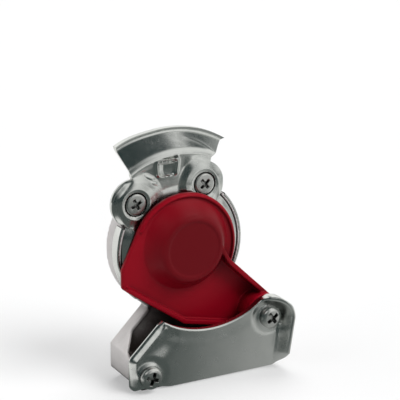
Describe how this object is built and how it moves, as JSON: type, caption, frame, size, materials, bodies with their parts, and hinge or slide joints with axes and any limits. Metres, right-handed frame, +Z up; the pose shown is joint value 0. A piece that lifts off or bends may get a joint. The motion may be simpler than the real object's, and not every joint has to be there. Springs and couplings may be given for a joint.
{
  "type": "palm-type gladhand air brake coupler",
  "caption": "Palm-type air brake coupling head: cast housing, steel claw plate and guide bracket, red swinging cover, rubber seal and sprung shut-off valve.",
  "frame": {"origin": "on the flat base, straight below the seal axis, in the plane of the claw plate's face", "axes": "+Z up from the base, +Y back along the seal axis to the hose port, +X to the right seen from the front"},
  "size_m": [0.0743, 0.0606, 0.104],
  "materials": {
    "cast_aluminium": "matte die-cast aluminium",
    "zinc_sheet": "bright zinc-plated pressed steel",
    "zinc_screw": "bright zinc-plated steel",
    "spring_steel": "dark spring steel",
    "red_plastic": "satin red moulded plastic",
    "black_rubber": "matte black rubber",
    "brass": "turned brass",
    "pale_plastic": "natural moulded plastic"
  },
  "bodies": {
    "housing": {"body": "cast_aluminium", "claw_plate": "zinc_sheet", "claw_screw_left": "zinc_screw", "claw_screw_right": "zinc_screw", "guide_bracket": "zinc_sheet", "bracket_screw": "zinc_screw", "bracket_washer": "spring_steel", "pivot_screw": "zinc_screw", "pivot_washer": "spring_steel", "pivot_sleeve": "zinc_screw", "cover_spring": "spring_steel", "seal_ring": "black_rubber", "retaining_ring": "spring_steel", "valve_seat": "brass", "seat_o_ring": "black_rubber", "valve_spring": "spring_steel"},
    "cover": {"cover": "red_plastic"},
    "valve": {"valve_plunger": "pale_plastic", "valve_washer": "black_rubber"}
  },
  "joints": [
    {"name": "cover_swing", "type": "hinge", "parent": "housing", "child": "cover", "pos_m": [0.0333, 0, 0.0232], "axis": [0, 1, 0], "range_deg": [0, 90], "stiffness_Nm_per_rad": 0.02, "springref_deg": -28.65, "deforming": ["cover_spring"]},
    {"name": "valve_slide", "type": "slide", "parent": "housing", "child": "valve", "axis": [0, 1, 0], "range_m": [0, 0.0035], "stiffness_N_per_m": 2000, "springref_m": -0.004, "deforming": ["valve_spring"]}
  ]
}
